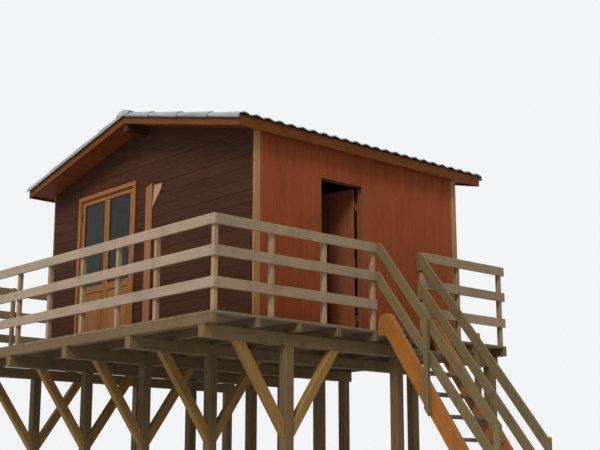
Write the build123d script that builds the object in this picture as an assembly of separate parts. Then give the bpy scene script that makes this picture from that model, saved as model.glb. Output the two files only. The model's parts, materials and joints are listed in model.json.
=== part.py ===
"""A small timber cabin on a raised platform in the woods, with a balcony and a steep stair.

Lengths are millimetres, angles are degrees. The platform's right front corner is the working
zero: x runs to the right, y runs back from the balcony's edge, z runs up from the ground.
At the end every piece is moved so that the origin is under the middle of the whole.
"""
import math
import os

from build123d import *

# Platform
deck_top = 2300.0
deck_board = 30.0
balcony_depth = 1100.0
gallery_width = 670.0
back_margin = 140.0
joist_width = 60.0
joist_depth = 100.0
joist_count = 9
beam_width = 100.0
beam_depth = 140.0
beam_count = 5
beam_inset = 150.0

# Ground posts and struts
post_size = 120.0
front_post_row = 1200.0
strut_width = 90.0
strut_depth = 110.0
strut_angle = 55.0
strut_reach = 710.0

# Cabin
cabin_width = 4510.0
cabin_length = 3600.0
wall_thickness = 100.0
eave_wall_height = 2340.0
roof_pitch = 13.5

# Roof
front_overhang = 320.0
side_overhang = 120.0
roof_deck_thickness = 105.0
covering_thickness = 40.0
covering_lap = 25.0
barge_thickness = 22.0
ridge_cap_width = 300.0
ridge_cap_thickness = 12.0
ridge_beam_width = 90.0
ridge_beam_depth = 140.0

# Glazed double door in the front wall
door_opening_width = 1315.0
door_opening_height = 2135.0
door_opening_left = 730.0
door_jamb = 35.0
door_gap = 10.0
door_leaf_thickness = 45.0
outer_stile = 55.0
meeting_stile = 45.0
leaf_top_rail = 48.0
leaf_mid_rail = 90.0
leaf_bottom_rail = 110.0
mid_rail_height = 790.0
threshold_height = 22.0
door_stop = 15.0
casing_width = 60.0
casing_thickness = 20.0
casing_reveal = 20.0
glass_thickness = 6.0
panel_thickness = 18.0

# Hinges
hinge_radius = 8.0
hinge_pin_radius = 4.5
hinge_clearance = 0.08
hinge_length = 90.0
hinge_plate = 3.0
hinge_plate_width = 30.0
hinge_plate_margin = 6.0
hinge_split = 0.4
hinge_end_distance = 160.0
side_hinge_end_distance = 200.0

# Handle of the double door
handle_height = 1020.0
handle_length = 110.0
handle_bar = 14.0
handle_plate_height = 200.0
handle_plate_width = 32.0
handle_plate_thickness = 6.0
handle_reach = 34.0

# Side door in the right wall
side_door_start = 1050.0
side_door_width = 760.0
side_door_height = 1960.0
side_door_jamb = 30.0
side_door_leaf_thickness = 35.0
side_door_rest_angle = 78.0

# Railing
rail_board = 115.0
rail_thickness = 30.0
rail_spacing = 340.0
lower_rail_height = 300.0
rail_count = 3
rail_post = 55.0
front_post_first = 1100.0
front_post_pitch = 767.0
front_post_count = 6
near_post_count = 4
post_after_stair = 3950.0

# Stair
stair_start = 2450.0
stair_width = 820.0
stair_angle = 55.4
stringer_thickness = 45.0
stringer_depth = 212.0
stringer_raise = 100.0
stringer_heel = 70.0
stringer_head = 185.0
stringer_round = 110.0
tread_count = 9
tread_thickness = 32.0
tread_depth = 190.0
stair_rail_angle = 52.2
near_top_rail = 1005.0
near_mid_rail = 625.0
far_top_rail = 905.0
far_mid_rail = 540.0
stair_post_size = 60.0
stair_post_middle = 745.0
stair_post_foot = 1700.0
stair_post_foot_raise = 27.0

# Worked out from the driving dimensions
deck_width = cabin_width + 2 * gallery_width
deck_length = balcony_depth + cabin_length + back_margin
deck_under = deck_top - deck_board
joist_under = deck_under - joist_depth
beam_under = joist_under - beam_depth
wall_right = -gallery_width
wall_left = wall_right - cabin_width
wall_front = balcony_depth
wall_back = balcony_depth + cabin_length
ridge_x = (wall_right + wall_left) / 2
pitch_slope = math.tan(math.radians(roof_pitch))
pitch_cos = math.cos(math.radians(roof_pitch))
wall_top = deck_top + eave_wall_height
ridge_under = wall_top + cabin_width / 2 * pitch_slope
stair_slope = math.tan(math.radians(stair_angle))
stair_cos = math.cos(math.radians(stair_angle))
stair_rail_slope = math.tan(math.radians(stair_rail_angle))
stair_rail_rise = rail_board / math.cos(math.radians(stair_rail_angle)) / 2
stair_end = stair_start + stair_width

nodes = {}


def box(x0, x1, y0, y1, z0, z1):
    """Box between two opposite corners."""
    low = (min(x0, x1), min(y0, y1), min(z0, z1))
    size = (abs(x1 - x0), abs(y1 - y0), abs(z1 - z0))
    return Pos(*low) * Box(*size, align=(Align.MIN, Align.MIN, Align.MIN))


def prism_y(outline, y0, y1):
    """Solid with an outline in x and z, from y0 to y1."""
    face = make_face(Polyline(*[(x, y0, z) for x, z in outline], close=True).edges())
    return extrude(face, amount=y1 - y0, dir=(0, 1, 0))


def prism_x(outline, x0, x1):
    """Solid with an outline in y and z, from x0 to x1."""
    face = make_face(Polyline(*[(x0, y, z) for y, z in outline], close=True).edges())
    return extrude(face, amount=x1 - x0, dir=(1, 0, 0))


def rod_z(x, y, z0, z1, radius):
    """Upright round bar."""
    return Pos(x, y, z0) * Cylinder(radius, z1 - z0, align=(Align.CENTER, Align.CENTER, Align.MIN))


def spread(first, last, count):
    """Evenly spaced places from first to last."""
    return [first + (last - first) * i / (count - 1) for i in range(count)]


def keep(name, *solids):
    """Put one or more solids into a named node."""
    nodes[name] = list(solids)


def roof_under(x):
    """Height of the roof's underside at x."""
    return ridge_under - abs(x - ridge_x) * pitch_slope


# Platform frame
beam_centres = spread(-beam_inset - beam_width / 2, -deck_width + beam_inset + beam_width / 2, beam_count)
beams = [box(x - beam_width / 2, x + beam_width / 2, 0, deck_length, beam_under, joist_under)
         for x in beam_centres]
keep("floor_beams", *beams)

joist_centres = spread(joist_width / 2, deck_length - joist_width / 2, joist_count)
joists = [box(-deck_width, 0, y - joist_width / 2, y + joist_width / 2, joist_under, deck_under)
          for y in joist_centres]
keep("floor_joists", *joists)

keep("walkway_deck", box(-deck_width, 0, 0, wall_front, deck_under, deck_top),
     box(wall_right, 0, wall_front, deck_length, deck_under, deck_top),
     box(-deck_width, wall_left, wall_front, deck_length, deck_under, deck_top))
keep("cabin_floor", box(wall_left, wall_right, wall_front, deck_length, deck_under, deck_top))

# Ground posts, and struts that rise from the front row both ways
back_post_row = deck_length - post_size
post_rows = spread(front_post_row, back_post_row, 3)
half_post = post_size / 2
posts = [box(x - half_post, x + half_post, y - half_post, y + half_post, 0, beam_under)
         for x in beam_centres for y in post_rows]
keep("ground_posts", *posts)

strut_slope = math.tan(math.radians(strut_angle))
strut_cut_level = strut_depth / math.sin(math.radians(strut_angle))
strut_cut_plumb = strut_depth / math.cos(math.radians(strut_angle))


def strut(x, post_face, way):
    """Strut from a post's face up to the underside of a beam, leaning forward or back."""
    low = beam_under - strut_reach * strut_slope
    far = post_face + way * strut_reach
    outline = [(far, beam_under), (far - way * strut_cut_level, beam_under),
               (post_face, low + strut_cut_plumb), (post_face, low)]
    return prism_x(outline, x - strut_width / 2, x + strut_width / 2)


keep("struts", *[strut(x, front_post_row + way * half_post, way) for x in beam_centres for way in (-1, 1)])

# Ridge beam, seen under the boards at both ends, and the walls' openings for it
ridge_beam_half = ridge_beam_width / 2
ridge_beam_low = ridge_under - ridge_beam_depth
ridge_beam_side = roof_under(ridge_x + ridge_beam_half)
ridge_beam_left = ridge_x - ridge_beam_half
ridge_beam_right = ridge_x + ridge_beam_half
ridge_beam_outline = [(ridge_beam_left, ridge_beam_low), (ridge_beam_right, ridge_beam_low),
                      (ridge_beam_right, ridge_beam_side), (ridge_x, ridge_under),
                      (ridge_beam_left, ridge_beam_side)]
roof_y0 = wall_front - front_overhang
roof_y1 = wall_back + front_overhang
ridge_beam = prism_y(ridge_beam_outline, roof_y0, roof_y1)
keep("ridge_beam", ridge_beam)

# Front wall in three pieces round the double door
door_left = wall_left + door_opening_left
door_right = door_left + door_opening_width
door_head = deck_top + door_opening_height


def gable_strip(x0, x1, z0, y0, y1):
    """Piece of a gable wall from x0 to x1, up to the roof."""
    top = [(x1, roof_under(x1))]
    if x0 < ridge_x < x1:
        top.append((ridge_x, roof_under(ridge_x)))
    top.append((x0, roof_under(x0)))
    return prism_y([(x0, z0), (x1, z0)] + top, y0, y1)


inner_front = wall_front + wall_thickness
inner_back = wall_back - wall_thickness
inner_right = wall_right - wall_thickness
inner_left = wall_left + wall_thickness
keep("front_wall_left", gable_strip(wall_left, door_left, deck_top, wall_front, inner_front))
keep("front_wall_right", gable_strip(door_right, wall_right, deck_top, wall_front, inner_front) - ridge_beam)
keep("front_wall_over_door", gable_strip(door_left, door_right, door_head, wall_front, inner_front))
keep("back_wall", gable_strip(wall_left, wall_right, deck_top, inner_back, wall_back) - ridge_beam)


# Long walls, whose tops follow the roof
def side_wall(outer_x, inner_x, y0, y1, z0):
    """Piece of a long wall from y0 to y1, up to the roof."""
    outline = [(outer_x, z0), (inner_x, z0), (inner_x, roof_under(inner_x)), (outer_x, roof_under(outer_x))]
    return prism_y(outline, y0, y1)


side_door_y0 = wall_front + side_door_start
side_door_y1 = side_door_y0 + side_door_width
side_door_head = deck_top + side_door_height
keep("right_wall_front", side_wall(wall_right, inner_right, inner_front, side_door_y0, deck_top))
keep("right_wall_back", side_wall(wall_right, inner_right, side_door_y1, inner_back, deck_top))
keep("right_wall_over_door", side_wall(wall_right, inner_right, side_door_y0, side_door_y1, side_door_head))
keep("left_wall", side_wall(wall_left, inner_left, inner_front, inner_back, deck_top))


# Frame of the double door: jambs, head, threshold and the stop behind the leaves
leaf_front = wall_front
leaf_back = leaf_front + door_leaf_thickness
clear_left = door_left + door_jamb
clear_right = door_right - door_jamb
clear_head = door_head - door_jamb
threshold_top = deck_top + threshold_height
frame_outline = box(door_left, door_right, wall_front, inner_front, deck_top, door_head)
frame_hole = box(clear_left, clear_right, wall_front, inner_front, threshold_top, clear_head)
stop_hole = box(clear_left + door_stop, clear_right - door_stop, leaf_back + door_gap, inner_front,
                threshold_top, clear_head - door_stop)
stop_block = box(clear_left, clear_right, leaf_back + door_gap, inner_front, threshold_top, clear_head)
keep("front_door_frame", (frame_outline - frame_hole) + (stop_block - stop_hole))

casing_low_left = door_left + casing_reveal - casing_width
casing_low_right = door_right - casing_reveal + casing_width
casing_top = door_head - casing_reveal + casing_width
casing_front = wall_front - casing_thickness
casing_board = box(casing_low_left, casing_low_right, casing_front, wall_front, deck_top, casing_top)
casing_hole = box(door_left + casing_reveal, door_right - casing_reveal, casing_front, wall_front,
                  deck_top, door_head - casing_reveal)
keep("front_door_casing", casing_board - casing_hole)

# Leaves of the double door
leaf_width = (clear_right - clear_left - 3 * door_gap) / 2
leaf_low = threshold_top + door_gap
leaf_high = clear_head - door_gap
mid_low = deck_top + mid_rail_height
mid_high = mid_low + leaf_mid_rail
hinge_y = wall_front - hinge_radius - hinge_split
hinge_heights = [leaf_low + hinge_end_distance, (leaf_low + leaf_high) / 2,
                 leaf_high - hinge_end_distance - hinge_length]
fixed_plate_reach = door_gap / 2 + casing_reveal - hinge_plate_margin


def leaf_pieces(name, hinge_side):
    """Frame, panel, glass and moving hinge halves of one leaf; hinge_side is -1 left or 1 right."""
    x_hinge = clear_left + door_gap if hinge_side < 0 else clear_right - door_gap
    x_free = x_hinge - hinge_side * leaf_width
    x_panel_hinge = x_hinge - hinge_side * outer_stile
    x_panel_free = x_free + hinge_side * meeting_stile
    slab = box(x_hinge, x_free, leaf_front, leaf_back, leaf_low, leaf_high)
    glass_low = mid_high
    glass_high = leaf_high - leaf_top_rail
    panel_low = leaf_low + leaf_bottom_rail
    panel_high = mid_low
    glass_hole = box(x_panel_hinge, x_panel_free, leaf_front, leaf_back, glass_low, glass_high)
    panel_hole = box(x_panel_hinge, x_panel_free, leaf_front, leaf_back, panel_low, panel_high)
    keep(name + "_frame", slab - glass_hole - panel_hole)
    middle = (leaf_front + leaf_back) / 2
    keep(name + "_panel", box(x_panel_hinge, x_panel_free, middle - panel_thickness / 2,
                              middle + panel_thickness / 2, panel_low, panel_high))
    keep(name + "_glass", box(x_panel_hinge, x_panel_free, middle - glass_thickness / 2,
                              middle + glass_thickness / 2, glass_low, glass_high))
    axis_x = x_hinge + hinge_side * door_gap / 2
    moving = []
    fixed = []
    for low in hinge_heights:
        half = low + hinge_length / 2
        top = low + hinge_length
        bore = rod_z(axis_x, hinge_y, half, top, hinge_pin_radius + hinge_clearance)
        knuckle = rod_z(axis_x, hinge_y, half + hinge_split, top, hinge_radius)
        plate = box(axis_x, x_hinge - hinge_side * hinge_plate_width, wall_front - hinge_plate, wall_front,
                    half + hinge_split, top)
        moving.append(knuckle + plate - bore)
        base = rod_z(axis_x, hinge_y, low, half, hinge_radius)
        pin = rod_z(axis_x, hinge_y, half, top, hinge_pin_radius)
        fixed_plate = box(axis_x, axis_x + hinge_side * fixed_plate_reach, wall_front - hinge_plate,
                          wall_front, low, half)
        fixed.append(base + pin + fixed_plate)
    keep(name + "_hinges", *moving)
    return axis_x, fixed


left_axis_x, left_fixed = leaf_pieces("left_leaf", -1)
right_axis_x, right_fixed = leaf_pieces("right_leaf", 1)
keep("front_door_hinge_posts", *left_fixed, *right_fixed)

# Lever handle on the right leaf's meeting stile
handle_x = clear_right - door_gap - leaf_width + meeting_stile / 2
handle_z = deck_top + handle_height
handle_plate = box(handle_x - handle_plate_width / 2, handle_x + handle_plate_width / 2,
                   wall_front - handle_plate_thickness, wall_front,
                   handle_z - handle_plate_height / 2, handle_z + handle_plate_height / 2)
handle_back = wall_front - handle_reach
handle_low = handle_z - handle_bar / 2
handle_high = handle_z + handle_bar / 2
handle_left = handle_x - handle_bar / 2
handle_neck = box(handle_left, handle_left + handle_bar, handle_back - handle_bar,
                  wall_front - handle_plate_thickness, handle_low, handle_high)
handle_lever = box(handle_left, handle_left + handle_length, handle_back - handle_bar, handle_back,
                   handle_low, handle_high)
keep("door_handle", handle_plate + handle_neck + handle_lever)

# Side door: frame in the wall, and a boarded leaf that stands open into the room
side_frame = box(wall_right, inner_right, side_door_y0, side_door_y1, deck_top, side_door_head)
side_clear_y0 = side_door_y0 + side_door_jamb
side_clear_y1 = side_door_y1 - side_door_jamb
side_clear_head = side_door_head - side_door_jamb
side_frame_hole = box(wall_right, inner_right, side_clear_y0, side_clear_y1, deck_top, side_clear_head)
keep("side_door_frame", side_frame - side_frame_hole)

side_hinge_x = inner_right - hinge_radius - hinge_split
side_hinge_y = side_clear_y1 - door_gap / 2
side_leaf_width = side_clear_y1 - side_clear_y0 - 2 * door_gap
side_leaf_low = deck_top + door_gap
side_leaf_high = side_clear_head - door_gap
side_leaf_shut = box(inner_right, inner_right + side_door_leaf_thickness, side_clear_y0 + door_gap,
                     side_clear_y1 - door_gap, side_leaf_low, side_leaf_high)
side_hinge_heights = [side_leaf_low + side_hinge_end_distance,
                      side_leaf_high - side_hinge_end_distance - hinge_length]
side_moving = []
side_fixed = []
for low in side_hinge_heights:
    half = low + hinge_length / 2
    top = low + hinge_length
    bore = rod_z(side_hinge_x, side_hinge_y, half, top, hinge_pin_radius + hinge_clearance)
    knuckle = rod_z(side_hinge_x, side_hinge_y, half + hinge_split, top, hinge_radius)
    plate_end = side_clear_y1 - door_gap - hinge_plate_width
    plate = box(inner_right - hinge_plate, inner_right, plate_end, side_hinge_y, half + hinge_split, top)
    side_moving.append(knuckle + plate - bore)
    base = rod_z(side_hinge_x, side_hinge_y, low, half, hinge_radius)
    pin = rod_z(side_hinge_x, side_hinge_y, half, top, hinge_pin_radius)
    fixed_plate = box(inner_right - hinge_plate, inner_right, side_hinge_y,
                      side_clear_y1 + side_door_jamb - hinge_plate_margin, low, half)
    side_fixed.append(base + pin + fixed_plate)
side_axis = Axis((side_hinge_x, side_hinge_y, 0), (0, 0, 1))
keep("side_door_leaf", side_leaf_shut.rotate(side_axis, -side_door_rest_angle))
keep("side_door_hinges", *[piece.rotate(side_axis, -side_door_rest_angle) for piece in side_moving])
keep("side_door_hinge_posts", *side_fixed)

# Roof: a boarded slab each side, its covering, the ridge cap and the boards along the edges
half_roof = cabin_width / 2 + side_overhang
deck_rise = roof_deck_thickness / pitch_cos
covering_rise = covering_thickness / pitch_cos


def slope_layer(way, under, over, reach, y0, y1):
    """Layer of one roof slope between two heights above its underside."""
    x_edge = ridge_x + way * reach
    edge = roof_under(x_edge)
    outline = [(ridge_x, ridge_under + under), (x_edge, edge + under), (x_edge, edge + over),
               (ridge_x, ridge_under + over)]
    return prism_y(outline, y0, y1)


barge_boards = []
eave_boards = []
for side, way in (("right", 1), ("left", -1)):
    keep("roof_" + side + "_slope", slope_layer(way, 0, deck_rise, half_roof, roof_y0, roof_y1))
    keep("roof_" + side + "_covering",
         slope_layer(way, deck_rise, deck_rise + covering_rise, half_roof + barge_thickness + covering_lap,
                     roof_y0 - barge_thickness - covering_lap, roof_y1 + barge_thickness + covering_lap))
    barge_boards.append(slope_layer(way, 0, deck_rise, half_roof, roof_y0 - barge_thickness, roof_y0))
    barge_boards.append(slope_layer(way, 0, deck_rise, half_roof, roof_y1, roof_y1 + barge_thickness))
    x_edge = ridge_x + way * half_roof
    edge = roof_under(x_edge)
    eave_x = x_edge + way * barge_thickness
    eave_top = edge + deck_rise - barge_thickness * pitch_slope
    eave_boards.append(box(x_edge, eave_x, roof_y0 - barge_thickness, roof_y1 + barge_thickness,
                           edge, eave_top))
keep("barge_boards", *barge_boards)
keep("eave_boards", *eave_boards)

cap_low = ridge_under + deck_rise + covering_rise
cap_reach = ridge_cap_width / 2
cap_drop = cap_reach * pitch_slope
cap_outline = [(ridge_x, cap_low), (ridge_x + cap_reach, cap_low - cap_drop),
               (ridge_x + cap_reach, cap_low - cap_drop + ridge_cap_thickness),
               (ridge_x, cap_low + ridge_cap_thickness),
               (ridge_x - cap_reach, cap_low - cap_drop + ridge_cap_thickness),
               (ridge_x - cap_reach, cap_low - cap_drop)]
keep("ridge_cap", prism_y(cap_outline, roof_y0 - barge_thickness - covering_lap,
                          roof_y1 + barge_thickness + covering_lap))

# Railing: three flat boards outside square posts, open where the stair arrives
rail_heights = [deck_top + lower_rail_height + i * rail_spacing for i in range(rail_count)]
rail_top = rail_heights[-1] + rail_board / 2
post_out = rail_thickness
post_in = rail_thickness + rail_post
newel_near = stair_start - rail_post
newel_far = stair_end


def rail_set(x0, x1, y0, y1):
    """The railing's boards over one straight stretch."""
    return [box(x0, x1, y0, y1, z - rail_board / 2, z + rail_board / 2) for z in rail_heights]


keep("front_rails", *rail_set(-deck_width, 0, 0, rail_thickness))
right_side_rails = rail_set(-rail_thickness, 0, rail_thickness, stair_start)
right_side_rails += rail_set(-rail_thickness, 0, stair_end, deck_length)
left_side_rails = rail_set(-deck_width, -deck_width + rail_thickness, rail_thickness, deck_length)
keep("side_rails", *right_side_rails, *left_side_rails)

front_post_x = [-front_post_first - i * front_post_pitch for i in range(front_post_count)]
near_post_y = spread(post_out + rail_post / 2, newel_near + rail_post / 2, near_post_count)
last_post_y = deck_length - post_in + rail_post / 2
right_post_y = near_post_y + [newel_far + rail_post / 2, post_after_stair, last_post_y]
left_post_y = spread(post_out + rail_post / 2, last_post_y, len(right_post_y))
rail_posts = []
for x in front_post_x:
    rail_posts.append(box(x - rail_post / 2, x + rail_post / 2, post_out, post_in, deck_top, rail_top))
for y in right_post_y:
    rail_posts.append(box(-post_in, -post_out, y - rail_post / 2, y + rail_post / 2, deck_top, rail_top))
for y in left_post_y:
    rail_posts.append(box(-deck_width + post_out, -deck_width + post_in,
                          y - rail_post / 2, y + rail_post / 2, deck_top, rail_top))
keep("railing_posts", *rail_posts)

# Stair: two stringers that lean on the platform's edge, treads, rails and posts
stringer_base = deck_top + stringer_raise
stringer_rise = stringer_depth / stair_cos
stringer_upper = stringer_base + stringer_rise
heel_z = deck_top - stringer_heel
head_z = deck_top + stringer_head
stringer_outline = [(0, heel_z), (0, head_z), ((stringer_upper - head_z) / stair_slope, head_z),
                    (stringer_upper / stair_slope, 0), (stringer_base / stair_slope, 0),
                    ((stringer_base - heel_z) / stair_slope, heel_z)]


def stringer(y0, y1):
    """Side board of the stair with a rounded head."""
    solid = prism_y(stringer_outline, y0, y1)
    head = solid.edges().filter_by(Axis.Y).sort_by(Axis.Z)[-2:]
    return fillet(head, stringer_round)


near_inner = stair_start + stringer_thickness
far_inner = stair_end - stringer_thickness
keep("stair_stringers", stringer(stair_start, near_inner), stringer(far_inner, stair_end))

tread_rise = deck_top / tread_count
treads = []
for i in range(tread_count):
    z = tread_rise * (i + 1)
    middle = (stringer_base + stringer_rise / 2 - z + tread_thickness / 2) / stair_slope
    treads.append(box(middle - tread_depth / 2, middle + tread_depth / 2, near_inner, far_inner,
                      z - tread_thickness, z))
keep("stair_treads", *treads)


def stair_rail(y0, y1, height, level):
    """Sloping board from the newel to the foot's post, its head cut level with a railing board."""
    start = -post_in
    end = stair_post_foot + stair_post_size
    upper = deck_top + height + stair_rail_rise
    lower = deck_top + height - stair_rail_rise
    head = level + rail_board / 2
    drop = end * stair_rail_slope
    outline = [(start, lower), (start, head), ((upper - head) / stair_rail_slope, head),
               (end, upper - drop), (end, lower - drop), (0, lower)]
    return prism_y(outline, y0, y1)


near_rail = (stair_start, stair_start + rail_thickness)
far_rail = (stair_end - rail_thickness, stair_end)
mid_level, top_level = rail_heights[-2:]
keep("stair_rails", stair_rail(*near_rail, near_mid_rail, mid_level),
     stair_rail(*near_rail, near_top_rail, top_level), stair_rail(*far_rail, far_mid_rail, mid_level),
     stair_rail(*far_rail, far_top_rail, top_level))


def stair_post(x, y0, height, foot_left, foot_right):
    """Upright outside a stringer, up to the top of its handrail; the foot may be cut on the slant."""
    x1 = x + stair_post_size
    top = deck_top + height + stair_rail_rise - x1 * stair_rail_slope
    outline = [(x, foot_left), (x1, foot_right), (x1, top), (x, top)]
    return prism_y(outline, y0, y0 + stair_post_size)


foot_drop = stair_post_size * stair_slope
middle_foot = stringer_base - stair_post_middle * stair_slope + stair_post_foot_raise
stair_posts = []
for y0, height in ((stair_start - stair_post_size, near_top_rail), (stair_end, far_top_rail)):
    stair_posts.append(stair_post(stair_post_middle, y0, height, middle_foot, middle_foot - foot_drop))
    stair_posts.append(stair_post(stair_post_foot, y0, height, 0, 0))
keep("stair_posts", *stair_posts)

# Write every node, with the origin on the ground under the middle of the whole
whole = Compound([solid for solids in nodes.values() for solid in solids])
extent = whole.bounding_box()
shift = Pos(-(extent.min.X + extent.max.X) / 2, -(extent.min.Y + extent.max.Y) / 2, 0)
os.makedirs("parts", exist_ok=True)
for name, solids in nodes.items():
    moved = [shift * solid for solid in solids]
    shape = moved[0] if len(moved) == 1 else Compound(moved)
    export_step(shape, "parts/" + name + ".step")
print("nodes", len(nodes), "box", extent.size)
print("shift", shift.position)
print("left leaf axis", left_axis_x, hinge_y, "right leaf axis", right_axis_x, hinge_y)
print("side door axis", side_hinge_x, side_hinge_y)
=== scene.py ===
"""Looks for the cabin on its raised platform: boards, timbers, metal roof, glazed door and stair."""
import json
import math
import random

import bmesh
import bpy
from mathutils import Matrix, Vector


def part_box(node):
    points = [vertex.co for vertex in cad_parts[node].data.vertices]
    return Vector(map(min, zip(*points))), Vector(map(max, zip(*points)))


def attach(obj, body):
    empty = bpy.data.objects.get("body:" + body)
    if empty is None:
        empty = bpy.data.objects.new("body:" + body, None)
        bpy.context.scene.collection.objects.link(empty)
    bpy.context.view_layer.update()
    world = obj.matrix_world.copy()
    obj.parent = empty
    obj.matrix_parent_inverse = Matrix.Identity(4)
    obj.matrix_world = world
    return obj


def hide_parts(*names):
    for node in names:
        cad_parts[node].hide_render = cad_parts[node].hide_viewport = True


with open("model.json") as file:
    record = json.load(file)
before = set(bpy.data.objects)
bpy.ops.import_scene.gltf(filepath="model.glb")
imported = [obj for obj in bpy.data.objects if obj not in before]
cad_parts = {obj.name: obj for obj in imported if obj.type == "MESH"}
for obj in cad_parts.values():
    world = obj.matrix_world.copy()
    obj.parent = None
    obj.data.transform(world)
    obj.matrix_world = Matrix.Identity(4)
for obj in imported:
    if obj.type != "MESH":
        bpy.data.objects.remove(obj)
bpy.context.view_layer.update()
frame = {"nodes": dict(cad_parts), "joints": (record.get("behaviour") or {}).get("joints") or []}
scene = bpy.context.scene
scene.view_settings.view_transform = "Standard"

# Places read from the frame, in metres
deck_low, deck_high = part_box("walkway_deck")
front_left_low, front_left_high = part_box("front_wall_left")
front_right_low, front_right_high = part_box("front_wall_right")
back_low, back_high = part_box("back_wall")
right_front_low, right_front_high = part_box("right_wall_front")
left_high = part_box("left_wall")[1]
deck_top = deck_high.z
wall_left = front_left_low.x
wall_right = front_right_high.x
wall_front = front_left_low.y
wall_back = back_high.y
inner_front = front_left_high.y
inner_back = back_low.y
inner_left = left_high.x
inner_right = right_front_low.x
door_left = front_left_high.x
door_right = front_right_low.x
door_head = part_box("front_wall_over_door")[0].z
side_door_y0 = right_front_high.y
side_door_y1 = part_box("right_wall_back")[0].y
side_door_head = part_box("right_wall_over_door")[0].z

# The roof's underside, from the tops of the walls
ridge_x = (wall_left + wall_right) / 2
roof_slope = (front_left_high.z - left_high.z) / (door_left - inner_left)
eave_z = left_high.z - (inner_left - wall_left) * roof_slope
ridge_under = eave_z + (ridge_x - wall_left) * roof_slope
roof_cos = math.cos(math.atan(roof_slope))

# Boards: thickness, width and how far their edges are eased
SKIN = 0.022
LINING = 0.016
DECK_BOARD = 0.14
DECK_GAP = 0.003
FRONT_COURSES = 16
SIDE_BOARD = 0.128
LINING_BOARD = 0.11
LINING_INSET = 0.1
CORNER_BOARD = 0.2
SOFFIT_BOARD = 0.12
SHARP_EDGE = 0.002
FINE_EDGE = 0.003
EDGE = 0.004
PLANED_EDGE = 0.005
SOFT_EDGE = 0.006
POST_EDGE = 0.007
GABLE_EDGE = 0.009
BOW = 0.0007
BOW_STEP = 0.7

# Gap between the top course of the gables and the ridge, and the lowest course worth a board
RIDGE_GAP = 0.012
LEAST_COURSE = 0.020

# Boards beside the door whose pale colour is painted sunlight on the wall, placed from the deck's right edge
# and its top; the short one's slanted point follows a shadow's edge
LONG_EDGE = 2.853
LONG_WIDTH = 0.138
LONG_THICK = 0.020
LONG_TOP = 2.040
LONG_CUT = 2.045
LONG_SLANT = 0.3
SHORT_EDGE = 2.668
SHORT_WIDTH = 0.158
SHORT_THICK = 0.018
SHORT_TOP = 2.030
SHORT_POINT = 1.775
SHORT_SLANT = 1.22
SHORT_LEAN = 0.12
SHORT_LENGTH = 0.13

# Doors
DOOR_GAP = 0.010
DOOR_STOP = 0.015
CASING = 0.060
BEAD = 0.006
FIELD_INSET = 0.030
FIELD_SINK = 0.004
FIELD_ROOT = 0.002
SIDE_JAMB = 0.030
SIDE_LEAF = 0.035
SIDE_LEAF_SKIN = 0.020
SIDE_LEAF_BOARD = 0.115
LEDGE = 0.100
LEDGE_END = 0.150

# Roof: edge boards, and the sheets, whose waves leave a trough at both verges
EDGE_HANG = 0.030
CORE_INSET = 0.004
CORE_END = 0.005
SHEET_ROW = 0.63
SHEET_LAP = 0.09
SHEET_WAVE = 0.1806
SHEET_STEP = 0.016
SHEET_LIFT = 0.003
SHEET_THICK = 0.0015
WAVE_HEIGHT = 0.024
WAVE_COLUMNS = 10
FOOT_OUT = 0.001
VERGE_DROP = 0.040
VERGE_FLARE = 0.004
VERGE_STEP = 0.008

# Ridge cap: its lapped pieces, their rolled rims and the plates that close the ends and sides
CAP_SINK = 0.012
CAP_TUCK = 0.008
CAP_PIECES = 4
CAP_LAP = 0.06
CAP_RING = 0.02
CAP_ROLL = 0.003
CAP_DIP = 0.004
CAP_PAST = 0.006
CAP_THICK = 0.002
CAP_ARC = 14
CAP_WIDTH = 0.94
CAP_CURVE = 1.7
END_PLATE = 0.035
SIDE_STRIP = 0.93
SIDE_STRIP_TOP = 0.004
SIDE_STRIP_FOOT = 0.032

# Rail screws
SCREW_RADIUS = 0.007
SCREW_HEIGHT = 0.003
SCREW_SIDES = 8
SCREW_OFF_MIDDLE = 0.028
TOUCH = 0.002

# Camera, placed from the deck's right front corner; angles are in degrees
CAMERA_PLACE = (9.777, -7.593, -1.855)
CAMERA_TURN = 47.97
CAMERA_TILT = 12.56
CAMERA_LENS = 72.0


# Colours and finishes
def shade(red, green, blue):
    """Linear colour from its usual 0 to 255 values."""
    def channel(value):
        value /= 255.0
        return value / 12.92 if value <= 0.04045 else ((value + 0.055) / 1.055) ** 2.4
    return (channel(red), channel(green), channel(blue), 1.0)


def scaled_shade(colour, factor):
    """Colour made darker or lighter."""
    return tuple(min(1.0, factor * c) for c in colour[:3]) + (1.0,)


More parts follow.
